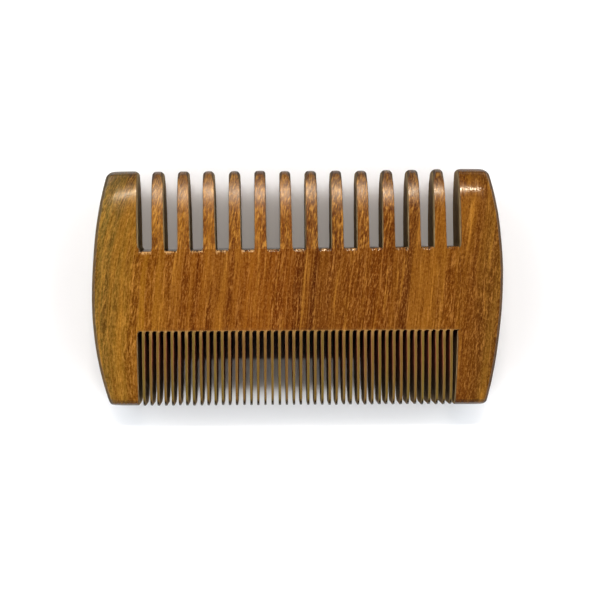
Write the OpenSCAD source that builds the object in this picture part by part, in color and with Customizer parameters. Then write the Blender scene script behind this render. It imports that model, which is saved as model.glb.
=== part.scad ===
// Two-sided wooden beard comb: wide teeth on the +Y side, fine teeth on the -Y side.
// It lies on its back face. X runs along its length and +Z points out of the front face.
// The origin is on the back face, at the middle of the length and of the width.
// One blank of wood is divided at the tooth roots, so every region is a solid of its own
// that meets its neighbours face to face.

/* [Comb] */
// Length over the end guards, at the widest line
comb_length = 98.4; // [90:0.1:120]
// Width from the wide tips to the fine tips
comb_width = 56.8; // [50:0.1:62]
// Thickness at the spine
thickness = 11; // [9:0.5:14]
// Radius of the bowed outer edge of each end guard
end_radius = 101; // [85:1:200]
// How far the widest line lies above the middle of the width
widest_line = 1.2; // [-2:0.1:2]

/* [Wide teeth] */
// Number of wide teeth
wide_count = 12; // [8:1:13]
// Length of a wide tooth, from gullet to tip
wide_length = 19.1; // [15:0.1:21]
// Width of the opening that the wide teeth stand in, between the guards
wide_field = 76.7; // [70:0.1:78]
// Shift of that opening towards +X
wide_shift = 0.45; // [-0.5:0.05:0.5]
// Width of a wide tooth at its root
wide_root = 2.95; // [2.4:0.05:3.4]
// Width of a wide tooth just below its tip
wide_tip = 2.55; // [2:0.05:3]
// Radius of the two corners of a wide tip
wide_corner = 0.95; // [0.5:0.05:1]
// Sideways lean of the wide teeth and gaps towards -X, over their whole length
wide_lean = 0.4; // [0:0.05:0.6]

/* [Fine teeth] */
// Number of fine teeth
fine_count = 44; // [30:1:44]
// Length of a fine tooth, from gullet to tip
fine_length = 17.9; // [14:0.1:20]
// Width of the opening that the fine teeth stand in, between the guards
fine_field = 76; // [70:0.1:77]
// Width of a fine tooth at its root
fine_root = 0.76; // [0.6:0.02:1]
// Width of a fine tooth just above its tip
fine_tip = 0.56; // [0.4:0.02:0.8]

/* [Side profile] */
// How far the faces stay flat past the gullets of the wide teeth
wide_flat = 6; // [3:0.5:8]
// Radius of the roll-off from the flat faces to the wide tips
wide_rolloff = 30; // [26:1:60]
// How far the faces stay flat past the gullets of the fine teeth
fine_flat = 4.5; // [3:0.5:8]
// Radius of the roll-off from the flat faces to the fine tips
fine_rolloff = 70; // [40:1:90]
// Radius of the nose along the wide tips, seen from the end
wide_nose = 1.5; // [0.8:0.1:1.8]
// Radius of the nose along the fine tips, seen from the end
fine_nose = 1.8; // [0.8:0.1:2.5]

/* [Guard corners] */
// Outer corner of the left guard beside the wide teeth
left_top = 1.6; // [0.5:0.1:4]
// Outer corner of the left guard beside the fine teeth
left_bottom = 0.8; // [0.5:0.1:4]
// Outer corner of the right guard beside the wide teeth
right_top = 1.9; // [0.5:0.1:4]
// Outer corner of the right guard beside the fine teeth
right_bottom = 1.5; // [0.5:0.1:4]
// Inner corners of both guards beside the wide teeth
inner_top = 0.9; // [0.3:0.1:1.5]
// Inner corners of both guards beside the fine teeth
inner_bottom = 0.4; // [0.3:0.1:1]

/* [Hidden] */
$fn = 96;

// Levels along Y: tips, gullets and the ends of the flat faces
tip_wide = comb_width / 2;
tip_fine = -comb_width / 2;
gullet_wide = tip_wide - wide_length;
gullet_fine = tip_fine + fine_length;
flat_wide = gullet_wide + wide_flat;
flat_fine = gullet_fine - fine_flat;

// Sides of the two openings at their gullets
wide_left = wide_shift - wide_field / 2;
wide_right = wide_shift + wide_field / 2;
fine_left = -fine_field / 2;
fine_right = fine_field / 2;

wide_pitch = (wide_field + wide_root) / (wide_count + 1);
fine_pitch = (fine_field + fine_root) / (fine_count + 1);

// Centre of the arc that bounds the +X end, and a size that passes every edge
arc_x = comb_length / 2 - end_radius;
past = comb_length;

function two_digits(i) = str(i < 10 ? "0" : "", i);
function wide_name(i) = str("wide_tooth_", two_digits(i));
function fine_name(i) = str("fine_tooth_", two_digits(i));

// Middle of tooth i at its root, counted from 1 at the -X end
function wide_x(i) = wide_left + i * wide_pitch - wide_root / 2;
function fine_x(i) = fine_left + i * fine_pitch - fine_root / 2;

// What a rounded corner leaves over: the wedge from angle a to angle b, outside the circle.
module corner_waste(centre, r, a, b) {
    middle = (a + b) / 2;
    translate(centre)
        difference() {
            polygon([
                [0, 0],
                8 * r * [cos(a), sin(a)],
                12 * r * [cos(middle), sin(middle)],
                8 * r * [cos(b), sin(b)]
            ]);
            circle(r);
        }
}

// Waste at the corner where an arc about (cx, cy) of radius big meets the line y = level.
// It is tangent to both, on the arc's +X side, for a level above cy.
module arc_corner_waste(cx, cy, big, level, r) {
    y = level - r;
    x = cx + sqrt(pow(big - r, 2) - pow(y - cy, 2));
    corner_waste([x, y], r, atan2(y - cy, x - cx), 90);
}

// Outline of a guard at the +X end. upper and lower are its inner edge beside the wide and
// the fine teeth; lean is how far that edge has moved along X at the wide tips.
module guard_plan(upper, lower, lean, top_corner, bottom_corner) {
    turn = atan(lean / wide_length);
    free_y = tip_wide - inner_top;
    free_x = upper + lean * (free_y - gullet_wide) / wide_length + inner_top / cos(turn);
    difference() {
        intersection() {
            translate([arc_x, widest_line])
                circle(end_radius, $fn = 360);
            polygon([
                [lower, tip_fine],
                [past, tip_fine],
                [past, tip_wide],
                [upper + lean, tip_wide],
                [upper, gullet_wide],
                [upper, gullet_fine],
                [lower, gullet_fine]
            ]);
        }
        arc_corner_waste(arc_x, widest_line, end_radius, tip_wide, top_corner);
        mirror([0, 1])
            arc_corner_waste(arc_x, -widest_line, end_radius, -tip_fine, bottom_corner);
        corner_waste([free_x, free_y], inner_top, 90, 180 - turn);
        corner_waste([lower + inner_bottom, tip_fine + inner_bottom], inner_bottom, 180, 270);
    }
}

module right_guard_plan() {
    guard_plan(wide_right, fine_right, -wide_lean, right_top, right_bottom);
}

module left_guard_plan() {
    mirror([1, 0])
        guard_plan(-wide_left, -fine_left, wide_lean, left_top, left_bottom);
}

// A wide tooth from its root, standing on y = 0, with a blunt tip.
module wide_plan() {
    shoulder = wide_length - wide_corner;
    inset = wide_tip / 2 - wide_corner;
    shift = -wide_lean * shoulder / wide_length;
    polygon([
        [-wide_root / 2, 0],
        [wide_root / 2, 0],
        [shift + wide_tip / 2, shoulder],
        [shift - wide_tip / 2, shoulder]
    ]);
    translate([shift - inset, shoulder - wide_corner])
        square([2 * inset, 2 * wide_corner]);
    for (side = [-1, 1])
        translate([shift + side * inset, shoulder])
            circle(wide_corner);
}

// A fine tooth from its root, standing on y = 0 and pointing to -Y, with a round tip.
module fine_plan() {
    shoulder = fine_length - fine_tip / 2;
    polygon([
        [fine_root / 2, 0],
        [-fine_root / 2, 0],
        [-fine_tip / 2, -shoulder],
        [fine_tip / 2, -shoulder]
    ]);
    translate([0, -shoulder])
        circle(fine_tip / 2);
}

// One side of the blank seen from the end: x is the way out to the tips and y is height.
// The faces are flat up to start, roll off with radius r and end in a nose at tip.
module half_side(start, tip, r, nose) {
    difference() {
        union() {
            square([start, thickness]);
            intersection() {
                translate([start, thickness - r])
                    circle(r, $fn = 360);
                translate([start, r])
                    circle(r, $fn = 360);
                translate([start, 0])
                    square([tip - start, thickness]);
            }
        }
        nose_waste(start, tip, r, nose);
        translate([0, thickness])
            mirror([0, 1])
                nose_waste(start, tip, r, nose);
    }
}

// Waste above the upper corner of a nose, tangent to the roll-off and to the tip line.
module nose_waste(start, tip, r, nose) {
    x = tip - nose;
    rise = sqrt(pow(r - nose, 2) - pow(x - start, 2));
    corner_waste([x, thickness - r + rise], nose, 0, atan2(rise, x - start));
}

// The whole blank seen from the end, wide side at +x and fine side at -x.
module blank_side() {
    half_side(flat_wide, tip_wide, wide_rolloff, wide_nose);
    mirror([1, 0])
        half_side(-flat_fine, -tip_fine, fine_rolloff, fine_nose);
}

// What a plan outline takes out of the blank.
module cut_from_blank() {
    intersection() {
        linear_extrude(thickness)
            children();
        rotate([90, 0, 90])
            linear_extrude(2 * past, center = true)
                blank_side();
    }
}

module spine() {
    color("peru")
        translate([wide_left, gullet_fine, 0])
            cube([wide_field, gullet_wide - gullet_fine, thickness]);
}

module left_end_guard() {
    color("sienna")
        cut_from_blank()
            left_guard_plan();
}

module right_end_guard() {
    color("sienna")
        cut_from_blank()
            right_guard_plan();
}

module wide_tooth(i) {
    color("chocolate")
        cut_from_blank()
            translate([wide_x(i), gullet_wide])
                wide_plan();
}

module fine_tooth(i) {
    color("darkgoldenrod")
        cut_from_blank()
            translate([fine_x(i), gullet_fine])
                fine_plan();
}

spine();
left_end_guard();
right_end_guard();
for (i = [1:wide_count]) {
    wide_tooth(i);
}
for (i = [1:fine_count]) {
    fine_tooth(i);
}
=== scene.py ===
"""Looks of a two-sided wooden beard comb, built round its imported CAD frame.

Lengths are millimetres in the frame's own axes, and MM turns them into metres where a mesh or
the camera is made. Only the lamps and the floor are given in metres. X runs along the comb, +Y
points to the wide teeth and +Z out of the front face.
"""

import math
import random
from typing import NamedTuple

import bmesh
import bpy
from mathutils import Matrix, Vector, noise


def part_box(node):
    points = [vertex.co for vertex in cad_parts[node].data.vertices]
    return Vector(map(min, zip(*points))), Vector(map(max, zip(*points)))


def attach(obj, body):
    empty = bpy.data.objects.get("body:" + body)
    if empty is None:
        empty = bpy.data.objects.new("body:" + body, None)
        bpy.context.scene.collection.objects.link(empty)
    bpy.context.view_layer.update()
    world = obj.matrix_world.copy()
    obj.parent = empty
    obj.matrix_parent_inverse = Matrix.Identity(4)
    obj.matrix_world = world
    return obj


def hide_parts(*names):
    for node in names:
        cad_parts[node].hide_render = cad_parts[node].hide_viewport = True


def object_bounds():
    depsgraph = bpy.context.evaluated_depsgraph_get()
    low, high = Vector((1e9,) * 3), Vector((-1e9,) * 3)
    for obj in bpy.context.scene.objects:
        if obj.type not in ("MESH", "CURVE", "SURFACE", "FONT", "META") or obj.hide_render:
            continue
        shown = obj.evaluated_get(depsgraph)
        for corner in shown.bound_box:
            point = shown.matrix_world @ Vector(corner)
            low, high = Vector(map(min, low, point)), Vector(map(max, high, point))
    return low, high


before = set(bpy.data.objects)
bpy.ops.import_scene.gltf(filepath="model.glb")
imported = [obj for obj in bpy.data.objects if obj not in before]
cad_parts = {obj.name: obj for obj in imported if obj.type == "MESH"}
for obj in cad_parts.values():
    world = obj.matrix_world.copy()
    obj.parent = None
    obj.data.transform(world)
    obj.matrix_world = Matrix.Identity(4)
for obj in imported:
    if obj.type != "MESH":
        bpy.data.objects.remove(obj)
cad_low, cad_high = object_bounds()

MM = 0.001
BODY = "root"


def box_mm(node):
    """Lowest and highest corner of a CAD node, in millimetres."""
    low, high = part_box(node)
    return Vector(low) / MM, Vector(high) / MM


# ---------------------------------------------------------------- places from the frame

SPINE_LOW, SPINE_HIGH = box_mm("spine")
THICK = SPINE_HIGH.z
MIDDLE = THICK / 2
GULLET_WIDE, GULLET_FINE = SPINE_HIGH.y, SPINE_LOW.y
TIP_WIDE = cad_high.y / MM
TIP_FINE = cad_low.y / MM
WIDE_NAMES = sorted(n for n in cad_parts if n.startswith("wide_tooth_"))
FINE_NAMES = sorted(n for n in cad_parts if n.startswith("fine_tooth_"))

# ---------------------------------------------------------------- shape of the blank

WIDE_FLAT = 6.0  # the faces stay flat this far past the wide gullets
WIDE_ROLLOFF = 30.0  # radius of the roll-off to the wide tips
WIDE_NOSE = 1.5  # radius of the nose along the wide tips, seen from the end
FINE_FLAT = 4.5
FINE_ROLLOFF = 70.0
FINE_NOSE = 1.8


def smooth(low, high, value):
    """0 at low, 1 at high, and an S-curve between them. low may be the higher number."""
    t = min(max((value - low) / (high - low), 0.0), 1.0)
    return t * t * (3 - 2 * t)


def rough(*place):
    """Smooth noise from -1 to 1 at a place."""
    return noise.noise(Vector((*place, 0.0, 0.0)[:3]))


def quarter(depth, radius):
    """How far a round corner of this radius stands back, at a depth from its outer end."""
    if depth >= radius:
        return 0.0
    return radius - math.sqrt(max(radius**2 - (radius - depth) ** 2, 0.0))


def half_thickness(y, tip_gap=0.0, early=0.0):
    """Half the blank's thickness at a level y.

    tip_gap is how far short of the tip line it ends, and early how much sooner it rolls off.
    """
    if y > 0:
        flat_end, tip, radius, nose = GULLET_WIDE + WIDE_FLAT, TIP_WIDE, WIDE_ROLLOFF, WIDE_NOSE
    else:
        flat_end, tip, radius, nose = -(GULLET_FINE - FINE_FLAT), -TIP_FINE, FINE_ROLLOFF, FINE_NOSE
    past = max(abs(y) + early - flat_end, 0.0)
    drop = radius - math.sqrt(radius**2 - past**2)
    return MIDDLE - drop - quarter(tip - tip_gap - abs(y), nose)


# ---------------------------------------------------------------- mesh tools

SHARP_ANGLE = math.radians(38)  # a steeper edge is shaded as a sharp one
SAME_PLACE = 1e-7  # metres within which vertices are joined
MOST_ROUND = 0.98  # share of half a section's width or height that its corners may take


class Grid(NamedTuple):
    """How many steps a section has along its width, up its sides and round each corner."""

    across: int
    up: int
    arc: int

    def cap_size(self):
        """Columns and rows of the cap that closes it."""
        return self.across + self.arc, self.up + self.arc


def section(x_low, x_high, half, r_low, r_high, grid):
    """Points (x, z) round a rounded rectangle, from the middle of its +X front corner."""
    room = MOST_ROUND * min(half, (x_high - x_low) / 2)
    r_low, r_high = min(r_low, room), min(r_high, room)
    top, bottom = MIDDLE + half, MIDDLE - half
    corners = [
        (x_high - r_high, top - r_high, r_high),
        (x_low + r_low, top - r_low, r_low),
        (x_low + r_low, bottom + r_low, r_low),
        (x_high - r_high, bottom + r_high, r_high),
    ]
    points = []
    for k, (cx, cz, r) in enumerate(corners):
        turns = [math.radians(90 * (k + j / grid.arc)) for j in range(grid.arc + 1)]
        points += [(cx + r * math.cos(t), cz + r * math.sin(t)) for t in turns]
        nx, nz, nr = corners[(k + 1) % 4]
        start = math.radians(90 * (k + 1))
        end = (nx + nr * math.cos(start), nz + nr * math.sin(start))
        here = points[-1]
        steps = (grid.across, grid.up)[k % 2]
        for j in range(1, steps):
            t = j / steps
            points.append((here[0] + (end[0] - here[0]) * t, here[1] + (end[1] - here[1]) * t))
    half_arc = grid.arc // 2
    return points[half_arc:] + points[:half_arc]


def cap(bm, ring, columns, rows):
    """Closes a ring of vertices with a grid of quads, as a patch between its four sides."""
    top = ring[: columns + 1]
    left = ring[columns : columns + rows + 1]
    bottom = ring[columns + rows : 2 * columns + rows + 1][::-1]
    right = (ring[2 * columns + rows :] + ring[:1])[::-1]
    lines = [top]
    for j in range(1, rows):
        v = j / rows
        line = [right[j]]
        for i in range(1, columns):
            u = i / columns
            across = right[j].co.lerp(left[j].co, u)
            along = top[i].co.lerp(bottom[i].co, v)
            upper = top[0].co.lerp(top[-1].co, u)
            lower = bottom[0].co.lerp(bottom[-1].co, u)
            line.append(bm.verts.new(across + along - upper.lerp(lower, v)))
        line.append(left[j])
        lines.append(line)
    lines.append(bottom)
    for here, below in zip(lines, lines[1:]):
        for i in range(columns):
            bm.faces.new((here[i], here[i + 1], below[i + 1], below[i]))


def loft(name, rings, columns, rows):
    """A closed piece through rings of points in millimetres, with a grid cap at each end."""
    bm = bmesh.new()
    loops = [[bm.verts.new(Vector(p) * MM) for p in ring] for ring in rings]
    count = len(loops[0])
    for a, b in zip(loops, loops[1:]):
        for i in range(count):
            j = (i + 1) % count
            bm.faces.new((a[i], a[j], b[j], b[i]))
    cap(bm, loops[0], columns, rows)
    cap(bm, loops[-1], columns, rows)
    bmesh.ops.remove_doubles(bm, verts=bm.verts, dist=SAME_PLACE)
    bmesh.ops.recalc_face_normals(bm, faces=bm.faces)
    for face in bm.faces:
        face.smooth = True
    for edge in bm.edges:
        if len(edge.link_faces) == 2 and edge.calc_face_angle(0.0) > SHARP_ANGLE:
            edge.smooth = False
    mesh = bpy.data.meshes.new(name)
    bm.to_mesh(mesh)
    bm.free()
    piece = bpy.data.objects.new(name, mesh)
    bpy.context.collection.objects.link(piece)
    return piece


def paint(piece, attribute, value):
    """Stores value(place, normal) on every vertex, with the place in millimetres."""
    mesh = piece.data
    layer = mesh.attributes.new(attribute, "FLOAT", "POINT")
    for vertex in mesh.vertices:
        layer.data[vertex.index].value = value(vertex.co / MM, vertex.normal)


def steps_to(start, end, count, tight=0.0):
    """Levels from start to end. tight, up to 1, draws them together towards the end."""
    out = []
    for k in range(count + 1):
        t = k / count
        eased = math.sin(t * math.pi / 2)
        out.append(start + (end - start) * (t + (eased - t) * tight))
    return out


def khaki_share(p, n):
    """1 on the fine teeth, fading out just inside the spine."""
    return smooth(-0.6, 0.1, GULLET_FINE - p.y)


# ---------------------------------------------------------------- teeth

ROOT_FILLET = 0.22  # radius where a wide tooth or a guard leaves the spine
SAWN_EDGE = 0.02  # radius of a long edge at the gullet, where nothing has rounded it
FINE_SHIFT = 0.13  # the fine teeth stand this far to -X of the CAD's
WIDE_CORNER = (0.8, 1.15)  # least and greatest radius of the corners of a wide tip
WIDE_EARLY = 0.9  # a wide tooth may start to roll off this much sooner
FINE_CORNER = 0.92  # radius of a fine tip's corners, as a share of half its width
WAVE_RATE = 0.22  # how fast the waves in a tooth's sides follow each other
FRAYED = (0.1, 0.45)  # least and greatest wear on the front of a fine tooth's root
DULL = (0.6, 1.0)  # how matt the wide teeth are towards -X, least and most
DULL_FADE = (24.0, 8.0)  # from none of that to all of it, along X
EXTRA_DULL = 0.25  # most that any wide tooth has besides
TIP_DULL = 0.5  # what the wide tips have besides
TIP_FADE = (16.0, 21.0)  # from none of that to all of it, along Y
SHORTER = 0.17  # how much shorter the wide teeth are towards -X
SHORTER_FADE = (30.0, 5.0)  # from none of that to all of it, along X
TOOTH_SEED = 3.1  # sets the waves of the teeth apart from each other
SIDE_SEED = 40  # and those of a tooth's two sides


class ToothKind(NamedTuple):
    """What the teeth of one row share. Between a least and a most, each draws its own value."""

    root: float  # level of the gullets
    tip: float  # level of the tips
    side: int  # the way that it points along Y
    grid: Grid
    root_half: float  # half its width at the root
    tip_half: float  # half its width at the tip
    tip_spread: tuple  # least and most, as a share of tip_half
    edge: tuple  # least and most radius of its long edges
    short: float  # most that it ends short of the tip line
    sway: float  # most that its tip stands to either side
    lean: float  # how far its tip stands to +X
    wave: float  # how deep the waves in its sides are
    fillet: float  # radius at the root


WIDE = ToothKind(
    root=GULLET_WIDE,
    tip=TIP_WIDE,
    side=1,
    grid=Grid(across=10, up=14, arc=6),
    root_half=1.475,
    tip_half=1.33,
    tip_spread=(0.96, 1.02),
    edge=(0.14, 0.22),
    short=0.18,
    sway=0.09,
    lean=-0.2,
    wave=0.035,
    fillet=ROOT_FILLET,
)
FINE = ToothKind(
    root=GULLET_FINE,
    tip=TIP_FINE,
    side=-1,
    grid=Grid(across=2, up=10, arc=4),
    root_half=0.34,
    tip_half=0.27,
    tip_spread=(0.94, 1.06),
    edge=(0.09, 0.14),
    short=0.12,
    sway=0.06,
    lean=0.0,
    wave=0.012,
    fillet=0.05,
)


def tooth(name, node, kind, seed):
    """One tooth, from its root in the gullet's plane to its rounded tip."""
    draw = random.Random(seed)
    low, high = box_mm(node)
    wide = kind is WIDE
    matt_and_sheen = draw.uniform(*DULL) * smooth(*DULL_FADE, low.x) + draw.uniform(0.0, EXTRA_DULL)
    tip_half = kind.tip_half * draw.uniform(*kind.tip_spread)
    corner = draw.uniform(*WIDE_CORNER) if wide else tip_half * FINE_CORNER
    edge = draw.uniform(*kind.edge)
    short = draw.uniform(0.0, kind.short)
    if wide:
        short += SHORTER * smooth(*SHORTER_FADE, low.x)
    sway = draw.uniform(-kind.sway, kind.sway)
    early = draw.uniform(0.0, WIDE_EARLY) if wide else 0.0
    root_x = high.x - kind.root_half if wide else (low.x + high.x) / 2 - FINE_SHIFT

    length = abs(kind.tip - kind.root)
    end = length - short
    # rings stand closer at the root's fillet and closer still towards the tip
    root_end, tip_start = kind.fillet * 1.5, end - 2.4 * corner
    levels = steps_to(0.0, root_end, 4) + steps_to(root_end, tip_start, 26)[1:]
    levels += steps_to(tip_start, end, 16, 0.9)[1:]
    tip_round = min(corner, tip_half * 0.96)
    rings = []
    for d in levels:
        t = d / length
        y = kind.root + kind.side * d
        half_width = kind.root_half + (tip_half - kind.root_half) * t
        half_width += quarter(d, kind.fillet) - quarter(end - d, tip_round)
        depth = kind.wave * smooth(0.0, 1.5, d)
        left_wave = depth * rough(seed * TOOTH_SEED, d * WAVE_RATE)
        right_wave = depth * rough(seed * TOOTH_SEED + SIDE_SEED, d * WAVE_RATE)
        x = root_x + kind.lean * t + sway * t * t
        half = half_thickness(y, short, early)
        radius = SAWN_EDGE + (edge - SAWN_EDGE) * smooth(0.1, 2.2, d)
        at_tip = smooth(end - 3.2 * corner, end - 0.3 * corner, d)
        radius += (half_width - radius) * 0.85 * at_tip
        x_low, x_high = x - half_width + left_wave, x + half_width + right_wave
        points = section(x_low, x_high, half, radius, radius, kind.grid)
        rings.append([(px, y, pz) for px, pz in points])
    piece = loft(name, rings, *kind.grid.cap_size())

    warmth = draw.random()
    paint(piece, "tone", lambda p, n: warmth)
    if wide:
        # The tips are made more matt, which also lays pale flecks of painted highlight on their
        # roll-off.
        paint(piece, "matt_and_sheen", lambda p, n: min(matt_and_sheen + TIP_DULL * smooth(*TIP_FADE, p.y), 1.0))
    else:
        paint(piece, "fine", khaki_share)
        frayed = draw.uniform(*FRAYED)
        paint(piece, "torn", lambda p, n: frayed * smooth(2.0, 0.0, GULLET_FINE - p.y) * n.z)
    return piece


# ---------------------------------------------------------------- end guards

GUARD_GRID = Grid(across=30, up=14, arc=10)
CROWN_WIDTH = 3.6  # the faces curve down over this width beside the outer edge
CROWN_RADIUS = 26.0
INNER_TOP = 0.9  # radius of a guard's inner corner beside the wide teeth
INNER_BOTTOM = 0.4  # and beside the fine teeth
FINE_FILLET = 0.1  # radius where a guard meets the first fine slot
GUARD_EDGE = 0.26  # what a guard's inner edges gain in radius past the gullets
DENSE_FROM = -8.0  # below this level a guard's rings draw together towards the fine tips


class GuardShape(NamedTuple):
    """An end guard. Its outer edge is straight in the middle and bows towards both tips."""

    side: int  # the end of the comb it is at, along X
    top_round: float  # radius of the outer corner beside the wide teeth
    bottom_round: float  # and beside the fine teeth
    bow_up: tuple  # the level where the bow towards the wide tips starts, and its radius
    bow_down: tuple  # the same towards the fine tips
    step_back: float  # how far its inner edge steps back at the wide gullets
    wide_lean: float  # how far that edge stands to -X at the wide tips
    fine_lean: float  # how far its edge beside the fine teeth leans in at the tips
    fine_inner: float  # place of that edge at the gullet
    outer_round: float  # radius of the outer edges
    short: float  # how far it ends short of both tip lines
    skew: float  # how much sooner its faces roll off, per millimetre outwards
    # The next also brings pale flecks of painted highlight into the figure.
    matt_and_sheen: float  # how dull it is


LEFT_GUARD = GuardShape(
    side=-1,
    top_round=1.6,
    bottom_round=0.8,
    bow_up=(-3.3, 143),
    bow_down=(-2.2, 81),
    step_back=0.2,
    wide_lean=0.25,
    fine_lean=0.2,
    fine_inner=-38.26,
    outer_round=1.0,
    short=0.15,
    skew=0.2,
    matt_and_sheen=0.45,
)
RIGHT_GUARD = GuardShape(
    side=1,
    top_round=1.7,
    bottom_round=1.0,
    bow_up=(1.1, 118),
    bow_down=(5.8, 140),
    step_back=0.15,
    wide_lean=0.2,
    fine_lean=0.7,
    fine_inner=38.1,
    outer_round=0.9,
    short=0.0,
    skew=0.0,
    matt_and_sheen=0.0,
)


def guard(name, node, shape):
    """One end guard, lofted from its end beside the fine teeth to the one beside the wide."""
    side, short = shape.side, shape.short
    low, high = box_mm(node)
    outer = low.x if side < 0 else high.x
    inner = SPINE_LOW.x if side < 0 else SPINE_HIGH.x
    tip_wide, tip_fine = TIP_WIDE - short, TIP_FINE + short

    def outer_edge(y):
        (up_from, up_radius), (down_from, down_radius) = shape.bow_up, shape.bow_down
        up, down = max(y - up_from, 0.0), max(down_from - y, 0.0)
        bow = up**2 / (2 * up_radius) + down**2 / (2 * down_radius)
        slope = max(up / up_radius, down / down_radius)
        if y > 0:
            end, radius = tip_wide - y, shape.top_round
        else:
            end, radius = y - tip_fine, shape.bottom_round
        reach = radius * (1 + slope * 0.4)  # the rounding reaches further in where the edge slants
        return outer - side * (bow + quarter(end, reach))

    def inner_edge(y):
        if y >= GULLET_WIDE:
            t = (y - GULLET_WIDE) / (TIP_WIDE - GULLET_WIDE)
            back = quarter(tip_wide - y, INNER_TOP) - quarter(y - GULLET_WIDE, ROOT_FILLET)
            back += shape.step_back * smooth(0.0, 0.6, y - GULLET_WIDE)
            return inner + side * back - shape.wide_lean * t
        if y <= GULLET_FINE:
            t = (GULLET_FINE - y) / (GULLET_FINE - TIP_FINE)
            back = quarter(y - tip_fine, INNER_BOTTOM) - quarter(GULLET_FINE - y, FINE_FILLET)
            return shape.fine_inner + side * (back - shape.fine_lean * t)
        return inner

    levels = steps_to(DENSE_FROM, tip_fine, 44, 0.75)[::-1][:-1]
    levels += steps_to(DENSE_FROM, GULLET_WIDE, 16)
    levels += steps_to(GULLET_WIDE, tip_wide, 48, 0.75)[1:]
    levels = sorted({*levels, GULLET_FINE, GULLET_FINE - 0.05, GULLET_FINE - FINE_FILLET})
    rings = []
    for y in levels:
        half = half_thickness(y, short)
        past_gullet = max(y - GULLET_WIDE, GULLET_FINE - y)
        inner_round = SAWN_EDGE + GUARD_EDGE * smooth(0.1, 2.0, past_gullet)
        wobble = 0.04 * rough(side * 9.0, y * 0.11)
        a, b = inner_edge(y), outer_edge(y) + wobble * side
        rounds = (inner_round, shape.outer_round)
        r_low, r_high = rounds if side > 0 else rounds[::-1]
        ring = []
        for px, pz in section(min(a, b), max(a, b), half, r_low, r_high, GUARD_GRID):
            here = half_thickness(y, short, shape.skew * abs(px - a))
            here -= max(CROWN_WIDTH - abs(b - px), 0.0) ** 2 / (2 * CROWN_RADIUS)
            ring.append((px, y, MIDDLE + (pz - MIDDLE) * here / half))
        rings.append(ring)
    piece = loft(name, rings, *GUARD_GRID.cap_size())
    paint(piece, "matt_and_sheen", lambda p, n: shape.matt_and_sheen)
    return piece


# ---------------------------------------------------------------- spine

SPINE_ACROSS, SPINE_UP = 30, 16  # steps along the spine's width and up its sides
SPINE_STEP = 0.14  # from ring to ring along X
EDGE_TIGHT = 0.88  # how much a ring's points draw together at its edges, up to 1
GULLET_TILT = 0.012  # the wide gullets' front edge climbs this much per millimetre of X
WALL_OUT = 0.25  # their sawn walls stand this far out at the back face
WALL_DEPTH = 0.8  # how far into the spine those two are felt
SLOT_DEEPER = 0.25  # the fine slots are sawn this much deeper than the tooth roots
SLOT_DEPTH = 0.6  # how far into the spine that is felt


class TornEdge(NamedTuple):
    """One long edge of the spine, chipped wherever a gap opens on it."""

    y: float
    z: float
    depth: float  # how deep the chips are
    reach: float  # how far into the spine an edge's chips are felt
    spans: list  # the teeth along it, as (lowest, highest) X
    margin: float  # how far from a tooth the chips reach their depth


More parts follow.
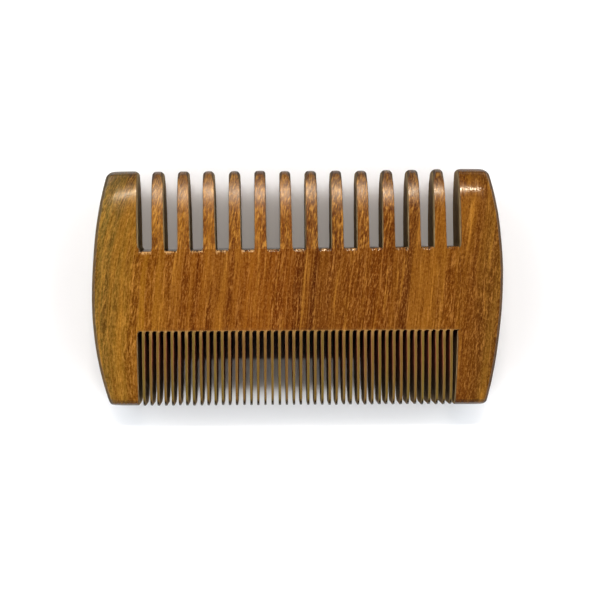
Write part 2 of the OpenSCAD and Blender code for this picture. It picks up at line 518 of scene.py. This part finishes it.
def spine(name):
    """The bar between the gullets, with torn fibres along the edges of every gap."""
    wide_spans = [(box_mm(n)[1].x - 2 * WIDE.root_half, box_mm(n)[1].x) for n in WIDE_NAMES]
    fine_spans = [(box_mm(n)[0].x, box_mm(n)[1].x) for n in FINE_NAMES]

    def in_gap(x, spans, margin):
        """0 beside a tooth or a guard, and 1 from a margin away from all of them."""
        clear = min(max(a - x, x - b) for a, b in spans)
        ends = min(x - SPINE_LOW.x, SPINE_HIGH.x - x)
        return smooth(0.0, margin, min(clear, ends))

    def chip(x, seed, edge):
        torn = max(rough(x * 1.9, seed * 7.0), 0.0) + 0.5 * max(rough(x * 5.3, seed * 7.0), 0.0)
        return in_gap(x, edge.spans, edge.margin) * edge.depth * (0.5 + 1.3 * torn)

    def outline():
        """Points (y, z) round the bar, drawn together at its four edges."""
        corners = [
            (GULLET_WIDE, THICK),
            (GULLET_FINE, THICK),
            (GULLET_FINE, 0.0),
            (GULLET_WIDE, 0.0),
        ]
        points = []
        for k, a in enumerate(corners):
            b = corners[(k + 1) % 4]
            steps = (SPINE_ACROSS, SPINE_UP)[k % 2]
            for j in range(steps):
                t = j / steps
                t -= EDGE_TIGHT * math.sin(2 * math.pi * t) / (2 * math.pi)
                points.append((a[0] + (b[0] - a[0]) * t, a[1] + (b[1] - a[1]) * t))
        return points

    base = outline()
    edges = [
        TornEdge(GULLET_WIDE, THICK, 0.3, 0.7, wide_spans, 0.35),
        TornEdge(GULLET_WIDE, 0.0, 0.3, 0.55, wide_spans, 0.35),
        TornEdge(GULLET_FINE, THICK, 0.1, 0.3, fine_spans, 0.15),
        TornEdge(GULLET_FINE, 0.0, 0.12, 0.3, fine_spans, 0.15),
    ]
    count = round((SPINE_HIGH.x - SPINE_LOW.x) / SPINE_STEP)
    rings = []
    for x in steps_to(SPINE_LOW.x, SPINE_HIGH.x, count):
        chips = [chip(x, i + 1, edge) for i, edge in enumerate(edges)]
        ring = []
        for y, z in base:
            near_wall = smooth(GULLET_WIDE - WALL_DEPTH, GULLET_WIDE, y)
            near_wall *= in_gap(x, wide_spans, 0.3)
            behind = WALL_OUT + 0.6 * GULLET_TILT * x
            shift_y = near_wall * (behind + (GULLET_TILT * x - behind) * z / THICK)
            near_slot = smooth(GULLET_FINE + SLOT_DEPTH, GULLET_FINE, y)
            shift_y += SLOT_DEEPER * near_slot * in_gap(x, fine_spans, 0.05)
            shift_z = 0.0
            for edge, depth in zip(edges, chips):
                away = math.hypot(y - edge.y, z - edge.z)
                pull = depth * smooth(edge.reach, 0.0, away)
                shift_y -= pull * math.copysign(1.0, edge.y)
                shift_z -= pull * (1.0 if edge.z > MIDDLE else -1.0)
            ring.append((x, y + shift_y, z + shift_z))
        rings.append(ring)
    piece = loft(name, rings, SPINE_ACROSS, SPINE_UP)

    def torn(p, n):
        """Pale, ragged fibres on the front edge of the wide gullets, and frayed fine ones."""
        edge = GULLET_WIDE + GULLET_TILT * p.x
        away = math.hypot(p.y - edge, p.z - THICK)
        worse = smooth(20.0, -30.0, p.x)
        ragged = 0.1 + 0.24 * worse + 0.7 * rough(p.x * 0.7, 5.0) + 0.6 * rough(p.x * 3.1, 8.0)
        faded = (0.45 + 0.45 * worse) * smooth(ragged + 0.2, ragged, away)
        faded *= in_gap(p.x, wide_spans, 0.2) * smooth(0.02, 0.12, edge - p.y)
        frayed = smooth(0.55, 0.3, p.y - GULLET_FINE) * smooth(1.0, 0.5, THICK - p.z)
        return max(faded, frayed * (0.3 + 0.6 * max(rough(p.x * 2.3, 4.0), 0.0)))

    paint(piece, "torn", torn)
    paint(piece, "fine", khaki_share)
    return piece


# ---------------------------------------------------------------- build

WIDE_SEED, FINE_SEED = 11, 101  # of the first tooth in each row


def hand_over(piece, node):
    """Puts a piece on the comb's body, in the place of its CAD node."""
    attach(piece, BODY)
    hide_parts(node)
    return piece


left_guard = guard("wood_left_guard", "left_end_guard", LEFT_GUARD)
right_guard = guard("wood_right_guard", "right_end_guard", RIGHT_GUARD)
pieces = [
    hand_over(spine("wood_spine"), "spine"),
    hand_over(left_guard, "left_end_guard"),
    hand_over(right_guard, "right_end_guard"),
]
for i, node in enumerate(WIDE_NAMES):
    pieces.append(hand_over(tooth("wood_" + node, node, WIDE, WIDE_SEED + i), node))
for i, node in enumerate(FINE_NAMES):
    pieces.append(hand_over(tooth("wood_" + node, node, FINE, FINE_SEED + i), node))


# ---------------------------------------------------------------- shader tools


def rgb(red, green, blue):
    """A screen colour from 0 to 255, as the linear values that shaders take."""
    out = []
    for value in (red, green, blue):
        v = value / 255
        out.append(v / 12.92 if v <= 0.04045 else ((v + 0.055) / 1.055) ** 2.4)
    return (*out, 1.0)


class Graph:
    """Short ways to add and join shader nodes."""

    def __init__(self, tree):
        self.tree = tree

    def node(self, kind, inputs=None, **settings):
        made = self.tree.nodes.new(kind)
        for key, value in settings.items():
            setattr(made, key, value)
        for key, value in (inputs or {}).items():
            self.join(value, made.inputs[key])
        return made

    def join(self, value, socket):
        if isinstance(value, bpy.types.NodeSocket):
            self.tree.links.new(value, socket)
        else:
            socket.default_value = value

    def math(self, operation, a, b=0.0):
        return self.node("ShaderNodeMath", {0: a, 1: b}, operation=operation).outputs[0]

    def times(self, a, b):
        return self.math("MULTIPLY", a, b)

    def step(self, value, low, high, out_low=0.0, out_high=1.0):
        """A smooth step of value, from out_low at low to out_high at high."""
        inputs = {"Value": value, "From Min": low, "From Max": high}
        inputs.update({"To Min": out_low, "To Max": out_high})
        made = self.node("ShaderNodeMapRange", inputs, interpolation_type="SMOOTHSTEP")
        return made.outputs["Result"]

    def step_linear(self, value, low, high, out_low=0.0, out_high=1.0):
        inputs = {"Value": value, "From Min": low, "From Max": high}
        inputs.update({"To Min": out_low, "To Max": out_high})
        return self.node("ShaderNodeMapRange", inputs).outputs["Result"]

    def split(self, vector):
        """The X, Y and Z of a vector."""
        return self.node("ShaderNodeSeparateXYZ", {0: vector}).outputs

    def place(self, x, y, z):
        return self.node("ShaderNodeCombineXYZ", {"X": x, "Y": y, "Z": z}).outputs[0]

    def noise(self, place, scale=1.0, detail=2.0, roughness=0.5):
        inputs = {"Vector": place, "Scale": scale, "Detail": detail, "Roughness": roughness}
        return self.node("ShaderNodeTexNoise", inputs).outputs[0]

    def mix(self, factor, a, b, blend="MIX"):
        made = self.node("ShaderNodeMix", data_type="RGBA", blend_type=blend)
        for socket, value in ((made.inputs[0], factor), (made.inputs[6], a), (made.inputs[7], b)):
            self.join(value, socket)
        return made.outputs[2]

    def darken(self, colour, factor, screen_colour):
        return self.mix(factor, colour, rgb(*screen_colour), "MULTIPLY")

    def attribute(self, name):
        return self.node("ShaderNodeAttribute", attribute_name=name).outputs["Fac"]


# ---------------------------------------------------------------- wood

FIBRE_LEAN = 0.09  # millimetres towards +X for each millimetre of Y
FIBRE_BEND = 0.0045  # more of that with the square of the level, at the -X end only
FIBRE_WANDER = 2.5  # how far the fibres stray from that, in millimetres
DEPTH_PACE = 0.4  # how fast the figure changes below the front face, next to across it
FRONT_DEPTH = 0.15  # where in the figure the front face cuts it, as a share of the thickness
ZONES_REACH = 49.5  # millimetres across the fibres that the zones cover to each side

# Colour of the wood across the comb, as (millimetres across the fibres, screen colour)
ZONES = [
    (-48, (106, 85, 33)),
    (-45.5, (102, 76, 26)),
    (-43, (117, 83, 25)),
    (-37, (137, 90, 23)),
    (-30, (120, 72, 19)),
    (-24, (124, 73, 18)),
    (-18, (113, 65, 17)),
    (-12, (123, 70, 17)),
    (-4, (115, 63, 15)),
    (4, (91, 47, 12)),
    (12, (113, 65, 16)),
    (20, (116, 67, 16)),
    (27, (98, 55, 15)),
    (33, (113, 67, 17)),
    (37, (123, 76, 19)),
    (42, (107, 63, 17)),
    (46, (109, 72, 22)),
]


class Streaks(NamedTuple):
    """Noise drawn out along the fibres."""

    fineness: float  # features per millimetre across the fibres
    length: float  # millimetres of a feature along them
    seed: float
    detail: float = 2.0
    rough: float = 0.6
    slant: float = 0.0  # how much further than the fibres it leans towards +X


STREAKS = {
    "ribbon": Streaks(0.32, 60, 3.0, detail=1.0, rough=0.55),
    "lines": Streaks(0.9, 22, 11.0),
    "ripples": Streaks(2.8, 1.6, 23.0, slant=0.1),
    "hairs": Streaks(4.0, 9.0, 41.0),
    "grit": Streaks(2.0, 4.0, 61.0, rough=0.55),
}


class Layer(NamedTuple):
    """One layer of the figure, laid over the colours below it."""

    pattern: str
    starts: float  # value of the pattern where the layer starts to show
    full: float  # value where it shows most
    share: float  # how much it shows there
    colour: tuple
    blend: str
    mask: str = ""


HONEY = (190, 132, 62)
LAYERS = [
    Layer("ribbon", 0.48, 0.62, 1.0, (224, 208, 202), "MULTIPLY"),
    Layer("ribbon", 0.48, 0.34, 0.22, (176, 116, 34), "MIX"),
    Layer("lines", 0.45, 0.3, 0.6, (200, 176, 152), "MULTIPLY"),
    Layer("lines", 0.55, 0.74, 0.4, (190, 132, 48), "MIX"),
    Layer("ripples", 0.5, 0.34, 0.75, (204, 186, 176), "MULTIPLY", "rippled"),
    Layer("ripples", 0.52, 0.7, 0.4, HONEY, "MIX", "rippled"),
    # Pale flecks where the wood is matt: partly grain, partly painted highlight on the tips'
    # roll-off.
    Layer("ripples", 0.44, 0.68, 0.4, (206, 150, 60), "MIX", "matt_and_sheen"),
    Layer("ripples", 0.47, 0.3, 0.35, (176, 160, 136), "MULTIPLY", "matt_and_sheen"),
    Layer("hairs", 0.5, 0.32, 0.7, (204, 188, 176), "MULTIPLY", "lively"),
    Layer("hairs", 0.55, 0.75, 0.35, HONEY, "MIX"),
    Layer("grain", 0.52, 0.34, 1.0, (222, 212, 204), "MULTIPLY"),
    Layer("grain", 0.52, 0.7, 0.2, HONEY, "MIX"),
]

# Screen colours of the faces that are neither polished nor flat
KHAKI = (98, 84, 35), (106, 80, 38)  # the fine teeth, each with its own share of both
# The next two darken the faces turned to the side: partly their unpolished finish, partly painted
# shade.
DULL_AND_SHADE_OUTER, DULL_AND_SHADE_INNER = (150, 147, 126), (120, 114, 92)  # darken what is turned to the side
# The sawn walls' colours; the darker, greyer tone of the fine walls at the tips is partly painted
# shade.
WIDE_WALL, FINE_WALL_ROOT, FINE_WALL_TIP_SHADED = (150, 126, 84), (158, 74, 50), (104, 80, 50)
# The first is painted shade, darkening the sawn walls towards the wide tips; the second follows
# their fibres.
WALL_SHADE_NEAR_TIP, WALL_FIBRE = (196, 190, 176), (206, 196, 184)  # darken the sawn walls
# The first darkens the roll-offs, partly for their end grain and partly as painted shade; the other
# two darken the end grain of the noses and the blunt ends.
ROLLED_GRAIN_AND_SHADE, ROUNDED, BLUNT = (204, 204, 190), (186, 180, 160), (150, 138, 122)  # darken end grain
# Painted shade on the fine tips, which turn away from the lamps.
FINE_END_SHADE = (130, 124, 112)  # darkens the ends of the fine teeth
TORN = (186, 142, 88)

POLISHED = (0.085, 0.165)  # least and greatest roughness of the polished faces
MATT_GAIN = 0.18  # what matt wood adds to it
SIDE_ROUGHNESS, WALL_ROUGHNESS = 0.8, 0.95
SPECULAR = 0.54
SPECULAR_TINT = (1.0, 0.9, 0.7, 1)
PORE_STRENGTH, PORE_DEPTH = 0.35, 0.00004  # the second in metres


class Wood(Graph):
    """Interlocked hardwood, coloured by place in millimetres, so the grain runs across pieces."""

    def __init__(self, tree):
        super().__init__(tree)
        spot = self.node("ShaderNodeTexCoord").outputs
        metres = self.split(spot["Object"])
        self.x, self.y, self.z = (self.math("DIVIDE", part, MM) for part in metres)
        facing = self.split(spot["Normal"])
        self.face_x = self.math("ABSOLUTE", facing["X"])
        self.face_y = self.math("ABSOLUTE", facing["Y"])
        self.fine, self.matt_and_sheen = self.attribute("fine"), self.attribute("matt_and_sheen")
        self.across = self.across_fibres()
        under_front = self.math("SUBTRACT", self.z, THICK)
        self.depth = self.math("ADD", self.times(under_front, DEPTH_PACE), FRONT_DEPTH * THICK)
        # 1 over the spine and the teeth, 0 at the comb's two ends, whose sides are not sawn
        self.inside = self.step(self.math("ABSOLUTE", self.x), 42, 40)
        self.sawn = self.times(self.step(self.face_x, 0.6, 0.95), self.inside)

    def across_fibres(self):
        """Millimetres across the fibres.

        They lean towards +X on the way to the wide teeth, bend more at the -X end, and wander.
        """
        slow_place = self.place(self.times(self.x, 0.05), self.times(self.y, 0.04), 0.5)
        wander = self.math("SUBTRACT", self.noise(slow_place, 1, 1), 0.5)
        above = self.math("ADD", self.y, 1.0)
        bend = self.times(self.math("POWER", above, 2.0), FIBRE_BEND)
        bend = self.times(bend, self.step(self.x, -20, -40))
        lean = self.math("ADD", self.times(self.y, FIBRE_LEAN), bend)
        straight = self.math("SUBTRACT", self.x, lean)
        return self.math("ADD", straight, self.times(wander, FIBRE_WANDER))

    def streaks(self, kind):
        line = self.across
        if kind.slant:
            line = self.math("SUBTRACT", line, self.times(self.y, kind.slant))
        spot = self.place(
            self.times(line, kind.fineness),
            self.times(self.y, 1 / kind.length),
            self.math("ADD", self.times(self.depth, kind.fineness), kind.seed),
        )
        return self.noise(spot, 1.0, kind.detail, kind.rough)

    def zones(self):
        """The wood's own colour, from the olive sapwood at -X on."""
        ramp = self.node("ShaderNodeValToRGB")
        bar = ramp.color_ramp
        while len(bar.elements) < len(ZONES):
            bar.elements.new(0.5)
        for element, (at, colour) in zip(bar.elements, ZONES):
            element.position = (at + ZONES_REACH) / (2 * ZONES_REACH)
            element.color = rgb(*colour)
        self.join(self.step_linear(self.across, -ZONES_REACH, ZONES_REACH), ramp.inputs[0])
        return ramp.outputs["Color"]

    def figure(self, colour, patterns):
        """Broad ribbons and long lines, then ripples across them, hairs and an even grain."""
        calm_low = self.step(self.y, -22, -8, 0.5, 1.0)
        calm_sides = self.step(self.face_x, 0.95, 0.6, 0.3, 1.0)
        lively = self.times(calm_low, calm_sides)
        rippled = self.times(self.step(patterns["ribbon"], 0.44, 0.6, 0.2, 1.0), lively)
        masks = {"lively": lively, "rippled": rippled, "matt_and_sheen": self.matt_and_sheen}
        for layer in LAYERS:
            pattern = patterns[layer.pattern]
            shown = self.step(pattern, layer.starts, layer.full, 0.0, layer.share)
            if layer.mask:
                shown = self.times(shown, masks[layer.mask])
            colour = self.mix(shown, colour, rgb(*layer.colour), layer.blend)
        return colour

    def cut_faces(self, colour):
        """Khaki fine teeth, dulled sides, raw sawn walls, darker end grain, pale torn edges;
        painted shade on sides, walls, roll-offs, fine tips.
        """
        khaki = self.mix(self.attribute("tone"), rgb(*KHAKI[0]), rgb(*KHAKI[1]))
        colour = self.mix(self.times(self.fine, 0.9), colour, khaki)

        # Faces turned to the side are darkened, partly for their unpolished finish and partly as
        # painted shade.
        rim = self.times(self.step(self.face_x, 0.15, 0.5), self.math("SUBTRACT", 1.0, self.fine))
        dull_and_shade = self.mix(self.inside, rgb(*DULL_AND_SHADE_OUTER), rgb(*DULL_AND_SHADE_INNER))
        colour = self.mix(rim, colour, dull_and_shade, "MULTIPLY")

        # The fine walls turn darker and greyer towards the tips, partly as painted shade.
        to_tip = self.step(self.y, -16, -26)
        fine_wall = self.mix(to_tip, rgb(*FINE_WALL_ROOT), rgb(*FINE_WALL_TIP_SHADED))
        wall = self.mix(self.fine, rgb(*WIDE_WALL), fine_wall)
        # Painted shade: the walls grow darker towards the wide tips.
        wall = self.darken(wall, self.step(self.y, 10, 27), WALL_SHADE_NEAR_TIP)
        fibre_place = self.place(self.times(self.x, 0.6), self.times(self.y, 0.2), self.z)
        fibres = self.noise(fibre_place, 2.5, 2)
        wall = self.darken(wall, self.step(fibres, 0.55, 0.4), WALL_FIBRE)
        colour = self.mix(self.times(self.sawn, 0.8), colour, wall)

        # Painted shade on the roll-offs, as well as their end grain.
        colour = self.darken(colour, self.step(self.face_y, 0.26, 0.42), ROLLED_GRAIN_AND_SHADE)
        colour = self.darken(colour, self.step(self.face_y, 0.45, 0.8), ROUNDED)
        # Painted shade on the fine tips, which turn away from the lamps.
        fine_end_shade = self.times(self.fine, self.step(self.face_y, 0.22, 0.6))
        colour = self.darken(colour, fine_end_shade, FINE_END_SHADE)
        colour = self.darken(colour, self.step(self.face_y, 0.85, 0.98), BLUNT)
        return self.mix(self.attribute("torn"), colour, rgb(*TORN))

    def roughness(self, grit):
        """Polished faces, duller where they are matt, and rough round the sides and walls."""
        polish = self.step(grit, 0.3, 0.7, *POLISHED)
        polish = self.math("ADD", polish, self.times(self.matt_and_sheen, MATT_GAIN))
        side = self.step(self.face_x, 0.12, 0.4, 0.0, SIDE_ROUGHNESS)
        wall = self.times(self.sawn, WALL_ROUGHNESS)
        return self.math("MAXIMUM", self.math("MAXIMUM", polish, side), wall)


def solid_wood():
    material = bpy.data.materials.new("comb_wood")
    material.use_nodes = True
    shader = material.node_tree.nodes["Principled BSDF"]
    g = Wood(material.node_tree)
    patterns = {name: g.streaks(kind) for name, kind in STREAKS.items()}
    grain_place = g.place(g.times(g.across, 2.6), g.times(g.y, 1.5), g.z)
    patterns["grain"] = g.noise(grain_place, 1, 2, 0.7)
    colour = g.cut_faces(g.figure(g.zones(), patterns))
    pores = {"Strength": PORE_STRENGTH, "Distance": PORE_DEPTH, "Height": patterns["hairs"]}
    bump = g.node("ShaderNodeBump", pores)
    g.join(colour, shader.inputs["Base Color"])
    g.join(g.roughness(patterns["grit"]), shader.inputs["Roughness"])
    g.join(bump.outputs["Normal"], shader.inputs["Normal"])
    shader.inputs["Specular IOR Level"].default_value = SPECULAR
    shader.inputs["Specular Tint"].default_value = SPECULAR_TINT
    return material


wood = solid_wood()
for piece in pieces:
    piece.data.materials.append(wood)

# ---------------------------------------------------------------- stage, light, camera

FLOOR_REACH = 6.0  # metres from the origin to each side
FLOOR_COLOUR = (0.93, 0.94, 0.945, 1)


def floor():
    mesh = bpy.data.meshes.new("floor")
    ways = [(-1, -1), (1, -1), (1, 1), (-1, 1)]
    corners = [(FLOOR_REACH * x, FLOOR_REACH * y, 0) for x, y in ways]
    mesh.from_pydata(corners, [], [(0, 1, 2, 3)])
    obj = bpy.data.objects.new("floor", mesh)
    bpy.context.collection.objects.link(obj)
    material = bpy.data.materials.new("pale_floor")
    material.use_nodes = True
    shader = material.node_tree.nodes["Principled BSDF"]
    shader.inputs["Base Color"].default_value = FLOOR_COLOUR
    shader.inputs["Roughness"].default_value = 1.0
    shader.inputs["Specular IOR Level"].default_value = 0.0
    mesh.materials.append(material)


KEY_TILT = 34.4  # degrees from the vertical, so that the roll-offs mirror the lamps
KEY_DISTANCE = 0.7  # metres from the origin to the lamps
KEY_WIDTH = 0.012  # metres


def strip_light(name, azimuth, length, power, tint):
    """A soft strip lamp on the wide side, aimed at the comb. length is in metres along X."""
    lamp = bpy.data.lights.new(name, "AREA")
    lamp.color = tint
    lamp.shape = "RECTANGLE"
    lamp.size, lamp.size_y = length, KEY_WIDTH
    lamp.energy = power
    obj = bpy.data.objects.new(name, lamp)
    a, t = math.radians(azimuth), math.radians(KEY_TILT)
    away = Vector((math.sin(t) * math.sin(a), math.sin(t) * math.cos(a), math.cos(t)))
    obj.location = away * KEY_DISTANCE
    obj.rotation_euler = away.to_track_quat("Z", "Y").to_euler()
    bpy.context.collection.objects.link(obj)


WARM_SKY, COOL_SKY = (1, 0.8, 0.74, 1), (0.96, 1, 1.04, 1)
HORIZON_SHARE = 0.12  # of the light higher up, so that the upright faces are not washed out


def sky(sides, behind, before, zenith):
    """Light from all round: strong and cool from the sides, warm along Y, dim straight above."""
    world = bpy.data.worlds.new("studio")
    world.use_nodes = True
    g = Graph(world.node_tree)
    back = world.node_tree.nodes["Background"]
    part = g.split(g.node("ShaderNodeTexCoord").outputs["Generated"])
    along = g.step(part["Y"], 0.7, -0.7, behind, before)
    sideways = g.step(g.math("ABSOLUTE", part["X"]), 0.25, 0.7)
    low = g.step_linear(sideways, 0.0, 1.0, along, sides)
    high = g.step(part["Z"], 0.3, 0.65, low, zenith)
    g.join(g.times(high, g.step(part["Z"], 0.2, 0.44, HORIZON_SHARE, 1)), back.inputs["Strength"])
    g.join(g.mix(sideways, WARM_SKY, COOL_SKY), back.inputs["Color"])
    bpy.context.scene.world = world


def camera():
    """Straight down. It stands left of and above the comb's middle, as the slot walls show."""
    foot_x, foot_y = -6.8, 11.0
    centre_x, centre_y = 0.62, -2.88
    height = 258.0  # above the front face
    picture_width = 142.8  # of the front face's plane
    roll = -0.33  # degrees
    data = bpy.data.cameras.new("camera")
    data.sensor_width = 36.0
    data.lens = data.sensor_width * height / picture_width
    data.shift_x = (centre_x - foot_x) / picture_width
    data.shift_y = (centre_y - foot_y) / picture_width
    obj = bpy.data.objects.new("camera", data)
    obj.location = Vector((foot_x, foot_y, THICK + height)) * MM
    obj.rotation_euler = (0, 0, math.radians(roll))
    bpy.context.collection.objects.link(obj)
    bpy.context.scene.camera = obj


floor()
strip_light("key", -2.8, 0.363, 2.15, (1.0, 0.94, 0.88))
strip_light("key_middle", 0.0, 0.12, 0.3, (1.0, 0.84, 0.74))
sky(sides=12.3, behind=1.6, before=0.58, zenith=0.048)
camera()
bpy.context.scene.view_settings.view_transform = "Standard"
